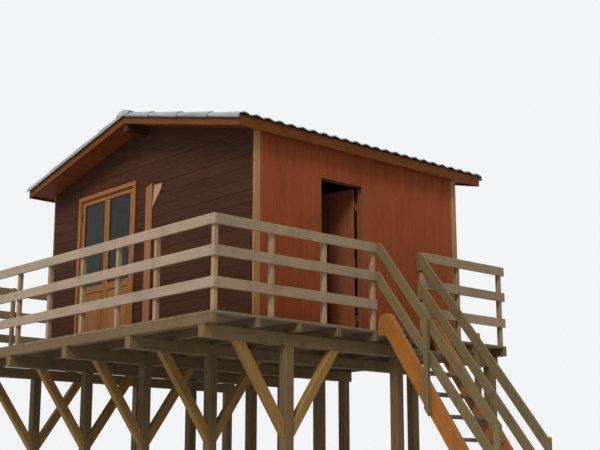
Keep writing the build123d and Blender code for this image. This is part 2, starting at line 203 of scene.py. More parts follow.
class Tree:
    """Short way to write a material's nodes."""

    def __init__(self, name):
        self.material = bpy.data.materials.new(name)
        self.material.use_nodes = True
        self.nodes = self.material.node_tree.nodes
        self.links = self.material.node_tree.links
        self.shader = self.nodes["Principled BSDF"]

    def put(self, socket, value):
        """Link a socket to another, or set it."""
        if isinstance(value, bpy.types.NodeSocket):
            self.links.new(value, socket)
        else:
            socket.default_value = value

    def add(self, kind, inputs=None, **settings):
        """Add a node; inputs are by name or number."""
        made = self.nodes.new(kind)
        for key, value in settings.items():
            setattr(made, key, value)
        for key, value in (inputs or {}).items():
            self.put(made.inputs[key], value)
        return made

    def surface(self, inputs):
        """Set or link the shader's inputs, and give the finished material."""
        for key, value in inputs.items():
            self.put(self.shader.inputs[key], value)
        return self.material

    def place(self):
        """Place on the object."""
        return self.add("ShaderNodeTexCoord").outputs["Object"]

    def attribute(self, name, output):
        """Output of a mesh attribute."""
        return self.add("ShaderNodeAttribute", attribute_name=name).outputs[output]

    def scaled(self, vector, scale):
        """Vector times a scale on each axis."""
        return self.add("ShaderNodeMapping", {"Vector": vector, "Scale": scale}).outputs[0]

    def noise(self, vector, scale, detail=4.0, roughness=0.55, distortion=0.0):
        """Noise from 0 to 1."""
        made = self.add("ShaderNodeTexNoise", {"Vector": vector, "Scale": scale, "Detail": detail,
                                               "Roughness": roughness, "Distortion": distortion})
        return made.outputs["Fac"]

    def spread(self, value, low, high, to_low=0.0, to_high=1.0):
        """Value stretched from one range to another and clamped."""
        made = self.add("ShaderNodeMapRange", {"Value": value, "From Min": low, "From Max": high,
                                               "To Min": to_low, "To Max": to_high})
        return made.outputs[0]

    def calc(self, operation, first, second):
        """Arithmetic on two values."""
        return self.add("ShaderNodeMath", {0: first, 1: second}, operation=operation).outputs[0]

    def grey(self, level):
        """Grey colour of a level."""
        return self.add("ShaderNodeCombineColor", {0: level, 1: level, 2: level}).outputs[0]

    def mix(self, factor, first, second, blend="MIX"):
        """Mixed colour."""
        made = self.add("ShaderNodeMix", data_type="RGBA", blend_type=blend)
        self.put(made.inputs[0], factor)
        self.put(made.inputs[6], first)
        self.put(made.inputs[7], second)
        return made.outputs[2]

    def ramp(self, value, *stops):
        """Colour ramp through (place, colour) stops."""
        made = self.add("ShaderNodeValToRGB", {"Fac": value})
        elements = made.color_ramp.elements
        while len(elements) < len(stops):
            elements.new(0.5)
        for element, (place, colour) in zip(elements, stops):
            element.position = place
            element.color = colour
        return made.outputs["Color"]

    def bump(self, height, strength, distance):
        """Bump normal from a height."""
        inputs = {"Height": height, "Strength": strength, "Distance": distance}
        return self.add("ShaderNodeBump", inputs).outputs["Normal"]


def growth_rings(tree, grain):
    """Rings of a log, from 0 to 1, bent a little along the board."""
    warp = tree.noise(tree.scaled(grain, (1.1, 5.0, 5.0)), 1.6, 2.0, 0.5)
    shift = tree.add("ShaderNodeCombineXYZ", {"Y": tree.spread(warp, 0.0, 1.0, -0.02, 0.02),
                                              "Z": tree.spread(warp, 0.0, 1.0, 0.015, -0.015)})
    bent = tree.add("ShaderNodeVectorMath", {0: tree.scaled(grain, (0.16, 1.0, 1.0)), 1: shift.outputs[0]},
                    operation="ADD")
    rings = tree.add("ShaderNodeTexWave", {"Vector": bent.outputs[0], "Scale": 26.0, "Distortion": 1.6,
                                           "Detail": 3.0, "Detail Scale": 1.4},
                     wave_type="RINGS", rings_direction="X")
    return rings.outputs["Fac"]


def wood(name, middle, contrast=0.2, spread=0.12, weather=None, weather_share=0.0, rough=(0.62, 0.85),
         coat=0.0, gloss=0.2, knots=0.5, relief=1.0, grime=0.25):
    """Boards with streaks, rings, knots, tone from board to board, and grey weathering or varnish."""
    middle = shade(*middle)
    tree = Tree(name)
    grain = tree.attribute("grain", "Vector")
    tone = tree.attribute("tone", "Fac")
    edge = tree.attribute("edge", "Fac")
    place = tree.place()
    dark = scaled_shade(middle, 1.0 - 1.5 * contrast)
    light = scaled_shade(middle, 1.0 + 1.3 * contrast)

    broad = tree.noise(tree.scaled(grain, (0.8, 9.0, 9.0)), 1.6, 3.0, 0.5, 0.4)
    streaks = tree.noise(tree.scaled(grain, (1.6, 62.0, 62.0)), 1.0, 6.0, 0.65, 0.3)
    ring = growth_rings(tree, grain)
    pattern = tree.calc("ADD", tree.calc("MULTIPLY", streaks, 0.45), tree.calc("MULTIPLY", ring, 0.15))
    pattern = tree.calc("ADD", pattern, tree.calc("MULTIPLY", broad, 0.40))
    colour = tree.ramp(pattern, (0.30, dark), (0.50, middle), (0.70, light))

    fibre = tree.noise(tree.scaled(grain, (5.0, 300.0, 300.0)), 1.0, 3.0, 0.6)
    pores = tree.spread(fibre, 0.30, 0.50, 1.0 - 0.6 * contrast, 1.0)
    colour = tree.mix(1.0, colour, tree.grey(pores), "MULTIPLY")

    cells = tree.add("ShaderNodeTexVoronoi", {"Vector": tree.scaled(grain, (2.6, 3.0, 0.4)), "Scale": 1.0})
    knot = tree.spread(cells.outputs["Distance"], 0.045, 0.075, 1.0, 0.0)
    colour = tree.mix(tree.calc("MULTIPLY", knot, knots), colour, scaled_shade(middle, 0.30))

    if weather is not None:
        clouds = tree.noise(place, 1.3, 5.0, 0.62)
        share = tree.spread(clouds, 0.34, 0.62, 0.25 * weather_share, weather_share)
        colour = tree.mix(share, colour, shade(*weather))
    level = tree.spread(tone, 0.0, 1.0, 1.0 - spread, 1.0 + spread)
    colour = tree.mix(1.0, colour, tree.grey(level), "MULTIPLY")

    # Darker patches from noise: dirt, which on the varnished stringers, where it is strongest, is also
    # painted dappled shade.
    stains = tree.noise(tree.scaled(place, (2.0, 2.0, 0.8)), 2.6, 4.0, 0.6)
    dirt = tree.spread(stains, 0.52, 0.75, 0.0, grime)
    colour = tree.mix(dirt, colour, scaled_shade(middle, 0.35))
    worn = tree.calc("MULTIPLY", edge, 0.22)
    colour = tree.mix(worn, colour, scaled_shade(light, 1.25))

    height = tree.calc("ADD", tree.calc("MULTIPLY", fibre, 0.5), tree.calc("MULTIPLY", pattern, 0.5))
    height = tree.calc("SUBTRACT", height, tree.calc("MULTIPLY", knot, 0.3))
    return tree.surface({"Base Color": colour,
                         "Roughness": tree.spread(pattern, 0.25, 0.75, rough[1], rough[0]),
                         "Specular IOR Level": gloss,
                         "Coat Weight": coat,
                         "Coat Roughness": 0.25,
                         "Normal": tree.bump(height, 0.5 * relief, 0.002)})


def metal(name, base, contrast=0.2, rough=(0.35, 0.6), metallic=0.5, scale=1.0, grime=0.35):
    """Painted or plain metal with clouds, water runs, dirt and a fine grain."""
    base = shade(*base)
    tree = Tree(name)
    place = tree.place()
    clouds = tree.noise(place, 1.6 * scale, 6.0, 0.6, 0.3)
    runs = tree.noise(tree.scaled(place, (1.2 * scale, 14.0 * scale, 1.2 * scale)), 1.4, 5.0, 0.6)
    specks = tree.noise(place, 60.0 * scale, 3.0, 0.7)
    mixed = tree.calc("ADD", tree.calc("MULTIPLY", clouds, 0.65), tree.calc("MULTIPLY", runs, 0.35))
    dark = scaled_shade(base, 1.0 - 1.8 * contrast)
    light = scaled_shade(base, 1.0 + 1.6 * contrast)
    colour = tree.ramp(mixed, (0.34, dark), (0.50, base), (0.68, light))
    colour = tree.mix(tree.spread(specks, 0.56, 0.72, 0.0, grime), colour, scaled_shade(base, 0.35))
    return tree.surface({"Base Color": colour,
                         "Roughness": tree.spread(mixed, 0.3, 0.7, rough[1], rough[0]),
                         "Metallic": metallic,
                         "Normal": tree.bump(tree.calc("ADD", specks, mixed), 0.25, 0.001)})


def pane(name):
    """Glass with a dark grey-green tint that is painted reflection of shaded leaves, and a little dust."""
    tree = Tree(name)
    place = tree.place()
    dust = tree.noise(place, 9.0, 5.0, 0.65)
    ripple = tree.noise(place, 3.0, 1.0, 0.4)
    # The tint's darkness and green cast are painted reflection of dark leaves.
    tint = tree.ramp(dust, (0.35, shade(118, 132, 122)), (0.7, shade(142, 152, 144)))
    return tree.surface({"Base Color": tint,
                         "Roughness": tree.spread(dust, 0.45, 0.8, 0.0, 0.04),
                         "Transmission Weight": 1.0,
                         "IOR": 1.16,
                         "Normal": tree.bump(ripple, 0.12, 0.004)})


GREY_WEATHER = (132, 122, 104)
VARNISHED = (0.38, 0.55)
materials = {
    "rail_board": wood("rail board wood", (164, 140, 118), 0.15, 0.10, GREY_WEATHER, 0.45, grime=0.35),
    "rail_post": wood("rail post wood", (148, 118, 86), 0.16, 0.12, GREY_WEATHER, 0.35, grime=0.3),
    # stair_rail and side_rail are the rail board wood darkened as painted shade: deepest on the stair rails
    # and posts, lighter on the side rails.
    "stair_rail": wood("rail wood with painted shade", (120, 98, 66), 0.15, 0.10, (98, 90, 62), 0.5, grime=0.4),
    "side_rail": wood("rail wood with lighter painted shade", (144, 120, 94), 0.15, 0.10, (114, 104, 82), 0.5, grime=0.4),
    "tread": wood("tread wood", (112, 96, 74), 0.15, 0.12, (106, 98, 80), 0.5, grime=0.45),
    "deck": wood("deck board wood", (110, 92, 68), 0.16, 0.14, (108, 100, 82), 0.45, grime=0.4),
    "timber": wood("platform timber", (108, 84, 54), 0.16, 0.12, (94, 82, 62), 0.35, grime=0.4),
    "strut": wood("strut wood", (134, 100, 50), 0.16, 0.10, (112, 94, 56), 0.25, grime=0.35),
    # The ridge beam's near-black brown is painted shade.
    "ridge": wood("ridge beam wood with painted shade", (70, 42, 24), 0.15, 0.08, gloss=0.08, grime=0.3),
    # The gable boards' near-black brown is painted shade; the same wall boards are a lighter reddish brown
    # when lit.
    "gable": wood("gable board wood with painted shade", (64, 38, 22), 0.18, 0.14, gloss=0.08, grime=0.3),
    # pale and pale_short are painted sunlight: the front wall's reddish brown as it looks sunlit, brighter on
    # the short board.
    "pale": wood("wood painted with sunlight", (142, 92, 62), 0.10, 0.06, knots=0.25, grime=0.12),
    "pale_short": wood("short board wood painted with sunlight", (168, 126, 102), 0.10, 0.06, knots=0.25, grime=0.12),
    "red": wood("red wall wood", (134, 66, 38), 0.09, 0.06, gloss=0.08, knots=0.2, grime=0.3),
    "corner": wood("corner board wood", (150, 112, 70), 0.14, 0.08),
    "lining": wood("lining wood", (122, 88, 54), 0.14, 0.10, grime=0.15),
    # The stringers' strong darker patches (grime 0.5) are partly dirt and partly painted dappled shade.
    "varnish": wood("varnished wood", (154, 92, 34), 0.22, 0.08, (104, 76, 44), 0.35, VARNISHED, coat=0.08,
                    relief=0.6, grime=0.5),
    "door": wood("door wood", (136, 84, 33), 0.16, 0.12, rough=VARNISHED, coat=0.04, gloss=0.1, relief=0.5,
                 grime=0.2),
    # The barge and eave boards' dark brown is their own colour deepened with painted shade.
    "barge": wood("barge board wood with painted shade", (100, 55, 22), 0.18, 0.10, rough=(0.45, 0.65), gloss=0.06, relief=0.7,
                  grime=0.4),
    "soffit": wood("soffit board wood", (122, 62, 32), 0.15, 0.12, rough=(0.5, 0.7), gloss=0.15, grime=0.2),
    "side_door": wood("side door wood", (120, 66, 38), 0.15, 0.08),
    "roof": metal("roof sheet metal", (158, 162, 162), rough=(0.34, 0.55), metallic=0.35, grime=0.25),
    "steel": metal("hinge steel", (96, 84, 68), 0.3, (0.35, 0.55), 0.8, 6.0),
    "glass": pane("door pane"),
}


# Pieces
class Boards:
    """Boards gathered into one mesh; each has its own grain direction, place in the log and tone."""

    def __init__(self, seed):
        self.chance = random.Random(seed)
        self.points = []
        self.faces = []
        self.grain = []
        self.tones = []
        self.edges = []

    def add(self, start, end, wide, thick, chamfer=EDGE, start_cut=None, end_cut=None, bow=BOW, turn=None):
        """Board from start to end; wide and thick give its section, a cut is a plane's point and normal."""
        start, end, wide, thick = Vector(start), Vector(end), Vector(wide), Vector(thick)
        axis = (end - start).normalized()
        length = (end - start).length
        half_w, half_t = wide.length / 2, thick.length / 2
        side, up = wide.normalized(), thick.normalized()
        c = min(chamfer, 0.4 * half_w, 0.4 * half_t)
        full = [(half_w - c, half_t), (half_w, half_t - c), (half_w, c - half_t), (half_w - c, -half_t),
                (c - half_w, -half_t), (-half_w, c - half_t), (-half_w, half_t - c), (c - half_w, half_t)]
        small = [(a * (half_w - c) / half_w, b * (half_t - c) / half_t) for a, b in full]
        start_cut = start_cut or (start, axis)
        end_cut = end_cut or (end, axis)

        def ring_at(section, cut, inset):
            """Section's points with their distance along the board, where a cut plane meets them."""
            point, normal = cut
            found = []
            for a, b in section:
                base = start + side * a + up * b
                found.append((a, b, (Vector(point) - base).dot(normal) / axis.dot(normal) + inset))
            return found

        rings = [ring_at(small, start_cut, 0.0), ring_at(full, start_cut, c)]
        last = ring_at(full, end_cut, -c)
        clear_first = max(s for a, b, s in rings[1]) + 0.02
        clear_last = min(s for a, b, s in last) - 0.02
        draw = self.chance.uniform
        parts = max(1, round(length / BOW_STEP))
        for i in range(1, parts):
            s = length * i / parts
            if clear_first < s < clear_last:
                shift_a, shift_b = draw(-bow, bow), draw(-bow, bow)
                rings.append([(a + shift_a, b + shift_b, s) for a, b in full])
        rings += [last, ring_at(small, end_cut, 0.0)]

        base = len(self.points)
        offset = Vector((draw(0, 40), draw(-0.14, 0.14), self.chance.choice((-1, 1)) * draw(0.03, 0.12)))
        tone = self.chance.random()
        for ring in rings:
            for a, b, s in ring:
                point = start + side * a + up * b + axis * s
                self.points.append(turn @ point if turn else point)
                self.grain.append(Vector((s, a, b)) + offset)
                self.tones.append(tone)
        sides = len(full)
        for i in range(len(rings) - 1):
            at_end = i in (0, len(rings) - 2)
            low, high = base + i * sides, base + (i + 1) * sides
            for j in range(sides):
                k = (j + 1) % sides
                self.faces.append((low + j, low + k, high + k, high + j))
                self.edges.append(1.0 if at_end or j % 2 == 0 else 0.0)
        for end_ring in (0, len(rings) - 1):
            self.faces.append(tuple(base + end_ring * sides + j for j in range(sides)))
            self.edges.append(0.0)

    def box(self, low, high, way, **options):
        """Board that fills a box, with its grain along x, y or z."""
        low, high = Vector(low), Vector(high)
        middle = (low + high) / 2
        size = high - low
        along, across, through = {"x": (0, 1, 2), "y": (1, 0, 2), "z": (2, 0, 1)}[way]
        start, end = middle.copy(), middle.copy()
        start[along] = low[along]
        end[along] = high[along]
        wide, thick = Vector(), Vector()
        wide[across] = size[across]
        thick[through] = size[through]
        self.add(start, end, wide, thick, **options)

    def piece(self, name, material, slot, *nodes, body="tree_house"):
        """Make the mesh object, ride it on its body and let it stand for its nodes."""
        mesh = mesh_of(name, self.points, self.faces)
        shape = bmesh.new()
        shape.from_mesh(mesh)
        bmesh.ops.recalc_face_normals(shape, faces=shape.faces)
        shape.to_mesh(mesh)
        shape.free()
        grain = mesh.attributes.new("grain", "FLOAT_VECTOR", "POINT")
        grain.data.foreach_set("vector", [c for g in self.grain for c in g])
        tones = mesh.attributes.new("tone", "FLOAT", "POINT")
        tones.data.foreach_set("value", self.tones)
        edges = mesh.attributes.new("edge", "FLOAT", "FACE")
        edges.data.foreach_set("value", self.edges)
        return settle(name, mesh, material, nodes, body)


def mesh_of(name, points, faces):
    """New mesh of points and faces."""
    mesh = bpy.data.meshes.new(name)
    mesh.from_pydata([tuple(p) for p in points], [], faces)
    return mesh


def settle(name, mesh, material, nodes=(), body="tree_house"):
    """Put a mesh in the scene as a piece of the object."""
    made = bpy.data.objects.new(name, mesh)
    scene.collection.objects.link(made)
    mesh.materials.append(materials[material])
    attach(made, body)
    if nodes:
        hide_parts(*nodes)
    return made


def middle_of(group):
    """Mean place of some vertices."""
    return sum((v.co for v in group), Vector()) / len(group)


def groups(shape):
    """Vertices of each separate solid in a mesh, in the same order in every run."""
    shape.verts.index_update()
    left = set(shape.verts)
    found = []
    while left:
        stack = [left.pop()]
        group = set(stack)
        while stack:
            for link in stack.pop().link_edges:
                for vert in link.verts:
                    if vert not in group:
                        group.add(vert)
                        left.discard(vert)
                        stack.append(vert)
        found.append(sorted(group, key=lambda v: v.index))
    return sorted(found, key=lambda g: (tuple(round(c, 3) for c in middle_of(g)), g[0].index))


def longest_edge(group):
    """Longest edge of a solid as a vector, the same edge and way round in every run."""
    spans = []
    for edge in {e for v in group for e in v.link_edges}:
        span = edge.verts[1].co - edge.verts[0].co
        backward = tuple(round(c, 4) for c in span) < (0.0, 0.0, 0.0)
        spans.append(-span if backward else span)
    return max(spans, key=lambda span: (round(span.length, 4), tuple(span)))


def node_shape(node):
    """Mesh of a node of the frame, joined at its corners."""
    shape = bmesh.new()
    shape.from_mesh(frame["nodes"][node].data)
    bmesh.ops.remove_doubles(shape, verts=shape.verts, dist=1e-5)
    return shape


def solids(node):
    """Lowest and highest corners of each solid in a node of the frame."""
    shape = node_shape(node)
    found = []
    for group in groups(shape):
        low = Vector([min(v.co[i] for v in group) for i in range(3)])
        high = Vector([max(v.co[i] for v in group) for i in range(3)])
        found.append((low, high))
    shape.free()
    return found


def dress(node, name, material, chamfer=EDGE, seed=1, segments=1):
    """Piece with a node's own shape, its edges eased and its grain along each solid's longest edge."""
    chance = random.Random(seed)
    shape = node_shape(node)
    bmesh.ops.dissolve_limit(shape, angle_limit=math.radians(1.0), verts=shape.verts, edges=shape.edges)
    sharp = [e for e in shape.edges if len(e.link_faces) == 2 and e.calc_face_angle(0.0) > math.radians(30.0)]
    edge = shape.faces.layers.float.new("edge")
    made = bmesh.ops.bevel(shape, geom=sharp, offset=chamfer, segments=segments, affect="EDGES", profile=0.6,
                           clamp_overlap=True)
    for face in made["faces"]:
        face[edge] = 1.0
    grain = shape.verts.layers.float_vector.new("grain")
    tone = shape.verts.layers.float.new("tone")
    for group in groups(shape):
        axis = longest_edge(group).normalized()
        upright = Vector((0, 0, 1)) if abs(axis.z) < 0.9 else Vector((0, 1, 0))
        side = axis.cross(upright).normalized()
        up = side.cross(axis)
        middle = middle_of(group)
        offset = Vector((chance.uniform(0, 40), chance.uniform(-0.14, 0.14), chance.uniform(0.03, 0.12)))
        level = chance.random()
        for vert in group:
            p = vert.co - middle
            vert[grain] = Vector((p.dot(axis), p.dot(side), p.dot(up))) + offset
            vert[tone] = level
    mesh = bpy.data.meshes.new(name)
    shape.to_mesh(mesh)
    shape.free()
    return settle(name, mesh, material, (node,))


def roof_under(x):
    """Height of the roof's underside at x."""
    return ridge_under - abs(x - ridge_x) * roof_slope


def slope_cut(way):
    """Plane of the roof's underside on one side."""
    return (Vector((ridge_x, 0, ridge_under)), Vector((way * roof_slope, 0, 1)).normalized())


def strips(first, last, width):
    """Both edges of each of the equal strips, about as wide as asked."""
    count = max(1, round(abs(last - first) / width))
    edges = [first + (last - first) * i / count for i in range(count + 1)]
    return list(zip(edges, edges[1:]))


# Platform
def platform():
    """Deck boards along y, joists, beams, posts and struts."""
    walkway = Boards(11)
    inside = Boards(12)
    for x0, x1 in ((deck_low.x, wall_left), (wall_left, wall_right), (wall_right, deck_high.x)):
        under_cabin = x0 == wall_left
        end = wall_front if under_cabin else deck_high.y
        for a, b in strips(x0, x1, DECK_BOARD):
            a += DECK_GAP
            b -= DECK_GAP
            walkway.box((a, deck_low.y, deck_low.z), (b, end, deck_top), "y")
            if under_cabin:
                inside.box((a, wall_front, deck_low.z), (b, deck_high.y, deck_top), "y")
    walkway.piece("walkway_boards", "deck", "deck_boards", "walkway_deck")
    inside.piece("cabin_floor_boards", "deck", "deck_boards", "cabin_floor")
    dress("floor_joists", "joist_timbers", "timber", PLANED_EDGE, 21)
    dress("floor_beams", "beam_timbers", "timber", SOFT_EDGE, 22)
    dress("ground_posts", "post_timbers", "timber", POST_EDGE, 23)
    dress("struts", "strut_timbers", "strut", SOFT_EDGE, 24)


# Walls
def course_ends(low, high, x_left, x_right):
    """Ends of a horizontal board between two heights, where the roof cuts it."""
    reach = (ridge_under - (low + high) / 2) / roof_slope
    left_cut = right_cut = None
    if high > roof_under(x_left) + 0.001:
        x_left = ridge_x - reach
        left_cut = slope_cut(-1)
    if high > roof_under(x_right) + 0.001:
        x_right = ridge_x + reach
        right_cut = slope_cut(1)
    return x_left, x_right, left_cut, right_cut


def gable_skin(boards, y0, y1, holes, chamfer, inset):
    """Horizontal boards over a gable wall, left open at the holes (x0, x1, top)."""
    left, right = wall_left + inset, wall_right - inset
    y = (y0 + y1) / 2
    course = (eave_z - deck_top) / FRONT_COURSES
    z = deck_top
    while z < ridge_under - LEAST_COURSE:
        top = min(z + course, ridge_under - RIDGE_GAP)
        stretches = [(left, right)]
        for x0, x1, head in holes:
            if z < head - 0.001:
                stretches = [(left, x0), (x1, right)]
                if top > head + 0.001:
                    boards.box((x0, y0, head), (x1, y1, top), "x", chamfer=chamfer)
        for a, b in stretches:
            a, b, cut_a, cut_b = course_ends(z, top, a, b)
            middle = (z + top) / 2
            boards.add((a, y, middle), (b, y, middle), (0, 0, top - z), (0, y1 - y0, 0), chamfer=chamfer,
                       start_cut=cut_a, end_cut=cut_b)
        z = top
    return boards


def gable_walls():
    """Front and back walls: outer boards and inner lining."""
    hole = [(door_left, door_right, door_head)]
    front = gable_skin(Boards(31), wall_front, wall_front + SKIN, hole, GABLE_EDGE, SKIN)
    front.piece("front_boards", "gable", "gable_boards", "front_wall_left", "front_wall_right",
                "front_wall_over_door")
    lining = gable_skin(Boards(32), inner_front - LINING, inner_front, hole, FINE_EDGE, LINING_INSET)
    lining.piece("front_lining", "lining", "gable_boards")
    back = gable_skin(Boards(33), wall_back - SKIN, wall_back, [], GABLE_EDGE, SKIN)
    back.piece("back_boards", "gable", "gable_boards", "back_wall")
    lining = gable_skin(Boards(34), inner_back, inner_back + LINING, [], FINE_EDGE, LINING_INSET)
    lining.piece("back_lining", "lining", "gable_boards")


def upright_skin(boards, x0, x1, y0, y1, z0, width, chamfer):
    """Vertical boards over a long wall, cut by the roof at the top."""
    way = 1 if x0 > ridge_x else -1
    x = (x0 + x1) / 2
    for a, b in strips(y0, y1, width):
        y = (a + b) / 2
        boards.add((x, y, z0), (x, y, roof_under(x)), (0, b - a, 0), (abs(x1 - x0), 0, 0), chamfer=chamfer,
                   end_cut=slope_cut(way))


def side_walls():
    """Long walls: red upright boards outside, lining inside, corner boards."""
    outer = Boards(41)
    inner = Boards(42)
    for y0, y1, z0 in ((inner_front, side_door_y0, deck_top), (side_door_y1, inner_back, deck_top),
                       (side_door_y0, side_door_y1, side_door_head)):
        upright_skin(outer, wall_right - SKIN, wall_right, y0, y1, z0, SIDE_BOARD, EDGE)
        upright_skin(inner, inner_right, inner_right + LINING, y0, y1, z0, LINING_BOARD, FINE_EDGE)
    outer.piece("right_wall_boards", "red", "red_boards", "right_wall_front", "right_wall_back",
                "right_wall_over_door")
    inner.piece("right_wall_lining", "lining", "red_boards")
    ends = (inner_front, inner_back, deck_top)
    outer = Boards(43)
    upright_skin(outer, wall_left, wall_left + SKIN, *ends, SIDE_BOARD, EDGE)
    outer.piece("left_wall_boards", "red", "red_boards", "left_wall")
    inner = Boards(44)
    upright_skin(inner, inner_left - LINING, inner_left, *ends, LINING_BOARD, FINE_EDGE)
    inner.piece("left_wall_lining", "lining", "red_boards")
    corners = Boards(45)
    for x0, x1 in ((wall_right - SKIN, wall_right), (wall_left, wall_left + SKIN)):
        for y0, y1 in ((wall_front, inner_front), (inner_back, wall_back)):
            upright_skin(corners, x0, x1, y0, y1, deck_top, CORNER_BOARD, SOFT_EDGE)
    corners.piece("corner_boards", "corner", "red_boards")


def sunlit_patch_boards():
    """Boards on the front wall beside the door, pale as painted sunlight: a long one, and a short one cut to
    a point along a shadow's edge.
    """
    x = deck_high.x - LONG_EDGE + LONG_WIDTH / 2
    y = wall_front - LONG_THICK / 2
    cut = (Vector((x, y, deck_top + LONG_CUT)), Vector((-LONG_SLANT, 0, 1)).normalized())
    boards = Boards(51)
    boards.add((x, y, deck_top), (x, y, deck_top + LONG_TOP), (LONG_WIDTH, 0, 0), (0, LONG_THICK, 0),
               chamfer=SOFT_EDGE, end_cut=cut)
    boards.piece("sunlit_patch_long_board", "pale", "gable_boards")

    x = deck_high.x - SHORT_EDGE
    y = wall_front - SHORT_THICK / 2
    point_cut = (Vector((x, y, deck_top + SHORT_POINT)), Vector((-SHORT_SLANT, 0, 1)).normalized())
    level_cut = (Vector((x, y, deck_top + SHORT_TOP)), Vector((0, 0, 1)))
    head = Vector((x + SHORT_WIDTH / 2, y, deck_top + SHORT_TOP))
    foot = head - Vector((SHORT_LEAN, 0, 1)).normalized() * SHORT_LENGTH
    wide = (SHORT_WIDTH, 0, -SHORT_LEAN * SHORT_WIDTH)
    boards = Boards(52)
    boards.add(foot, head, wide, (0, SHORT_THICK, 0), chamfer=SOFT_EDGE,
               start_cut=point_cut, end_cut=level_cut)
    boards.piece("sunlit_patch_short_board", "pale_short", "gable_boards")


# Doors
def double_door():
    """Frame with its stops, casing and the two glazed leaves."""
    low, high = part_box("front_door_frame")
    leaf_low, leaf_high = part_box("left_leaf_frame")
    jamb = leaf_low.x - DOOR_GAP - low.x
    left, right = low.x + jamb, high.x - jamb
    head = leaf_high.z + DOOR_GAP
    sill = leaf_low.z - DOOR_GAP
    stop = leaf_high.y + DOOR_GAP
    parts = Boards(61)
    for x0, x1 in ((low.x, left), (right, high.x)):
        parts.box((x0, low.y, sill), (x1, high.y, head), "z", chamfer=FINE_EDGE)
    for z0, z1 in ((head, high.z), (low.z, sill)):
        parts.box((low.x, low.y, z0), (high.x, high.y, z1), "x", chamfer=FINE_EDGE)
    for x in (left, right - DOOR_STOP):
        parts.box((x, stop, sill), (x + DOOR_STOP, high.y, head - DOOR_STOP), "z", chamfer=SHARP_EDGE)
    parts.box((left, stop, head - DOOR_STOP), (right, high.y, head), "x", chamfer=SHARP_EDGE)
    parts.piece("door_frame_boards", "door", "varnished_wood", "front_door_frame")

    low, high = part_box("front_door_casing")
    casing = Boards(62)
    for x in (low.x, high.x - CASING):
        casing.box((x, low.y, low.z), (x + CASING, high.y, high.z - CASING), "z", chamfer=SOFT_EDGE)
    casing.box((low.x, low.y, high.z - CASING), high, "x", chamfer=SOFT_EDGE)
    casing.piece("door_casing_boards", "door", "varnished_wood", "front_door_casing")
    leaf("left_leaf", 63)
    leaf("right_leaf", 64)


def leaf(name, seed):
    """One glazed leaf: stiles, rails, glazing beads and a fielded panel."""
    low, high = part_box(name + "_frame")
    glass_low, glass_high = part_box(name + "_glass")
    panel_low, panel_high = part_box(name + "_panel")
    sticks = Boards(seed)
    sticks.box(low, (glass_low.x, high.y, high.z), "z", chamfer=PLANED_EDGE)
    sticks.box((glass_high.x, low.y, low.z), high, "z", chamfer=PLANED_EDGE)
    for z0, z1 in ((glass_high.z, high.z), (panel_high.z, glass_low.z), (low.z, panel_low.z)):
        sticks.box((glass_low.x, low.y, z0), (glass_high.x, high.y, z1), "x", chamfer=PLANED_EDGE)
    for y0, y1 in ((low.y + PLANED_EDGE, glass_low.y), (glass_high.y, high.y - PLANED_EDGE)):
        for z in (glass_low.z, glass_high.z - BEAD):
            sticks.box((glass_low.x, y0, z), (glass_high.x, y1, z + BEAD), "x", chamfer=FINE_EDGE)
        z0, z1 = glass_low.z + BEAD, glass_high.z - BEAD
        for x in (glass_low.x, glass_high.x - BEAD):
            sticks.box((x, y0, z0), (x + BEAD, y1, z1), "z", chamfer=FINE_EDGE)
    sticks.piece(name + "_sticks", "door", "varnished_wood", name + "_frame", body=name)
    panel = Boards(seed + 10)
    panel.box(panel_low, panel_high, "z", chamfer=SHARP_EDGE)
    for y0, y1 in ((low.y + FIELD_SINK, panel_low.y + FIELD_ROOT),
                   (panel_high.y - FIELD_ROOT, high.y - FIELD_SINK)):
        panel.box((panel_low.x + FIELD_INSET, y0, panel_low.z + FIELD_INSET),
                  (panel_high.x - FIELD_INSET, y1, panel_high.z - FIELD_INSET), "z")
    panel.piece(name + "_boards", "door", "varnished_wood", name + "_panel", body=name)


def side_door():
    """Frame boards and the ledged leaf, which stands open."""
    low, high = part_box("side_door_frame")
    head = high.z - SIDE_JAMB
    parts = Boards(71)
    for y in (low.y, high.y - SIDE_JAMB):
        parts.box((low.x, y, low.z), (high.x, y + SIDE_JAMB, head), "z", chamfer=FINE_EDGE)
    parts.box((low.x, low.y, head), high, "y", chamfer=FINE_EDGE)
    parts.piece("side_frame_boards", "side_door", "side_door_wood", "side_door_frame")

    hinge = next(j for j in frame["joints"] if j["name"] == "side_door_hinge")
    pivot = Vector(hinge["pos_m"])
    rest = math.radians(-hinge["range_deg"][1])
    turn = Matrix.Translation(pivot) @ Matrix.Rotation(rest, 4, "Z") @ Matrix.Translation(-pivot)
    x0 = inner_right
    x1 = x0 + SIDE_LEAF - SIDE_LEAF_SKIN
    x2 = x0 + SIDE_LEAF
    y0, y1 = low.y + SIDE_JAMB + DOOR_GAP, high.y - SIDE_JAMB - DOOR_GAP
    z0, z1 = deck_top + DOOR_GAP, head - DOOR_GAP
    leaf_boards = Boards(72)
    for a, b in strips(y0, y1, SIDE_LEAF_BOARD):
        leaf_boards.box((x1, a, z0), (x2, b, z1), "z", turn=turn)
    for z in (z0 + LEDGE_END, (z0 + z1 - LEDGE) / 2, z1 - LEDGE_END - LEDGE):
        leaf_boards.box((x0, y0, z), (x1, y1, z + LEDGE), "y", chamfer=FINE_EDGE, turn=turn)
    leaf_boards.piece("side_leaf_boards", "side_door", "side_door_wood", "side_door_leaf", body="side_door")


# Roof
def roof():
    """Two boarded slopes under metal sheets, edge boards, ridge beam and ridge cap."""
    roof_side("right", 1, 81)
    roof_side("left", -1, 82)
    edge_boards()
    dress("ridge_beam", "ridge_timber", "ridge", SOFT_EDGE, 87)
    ridge_cap()


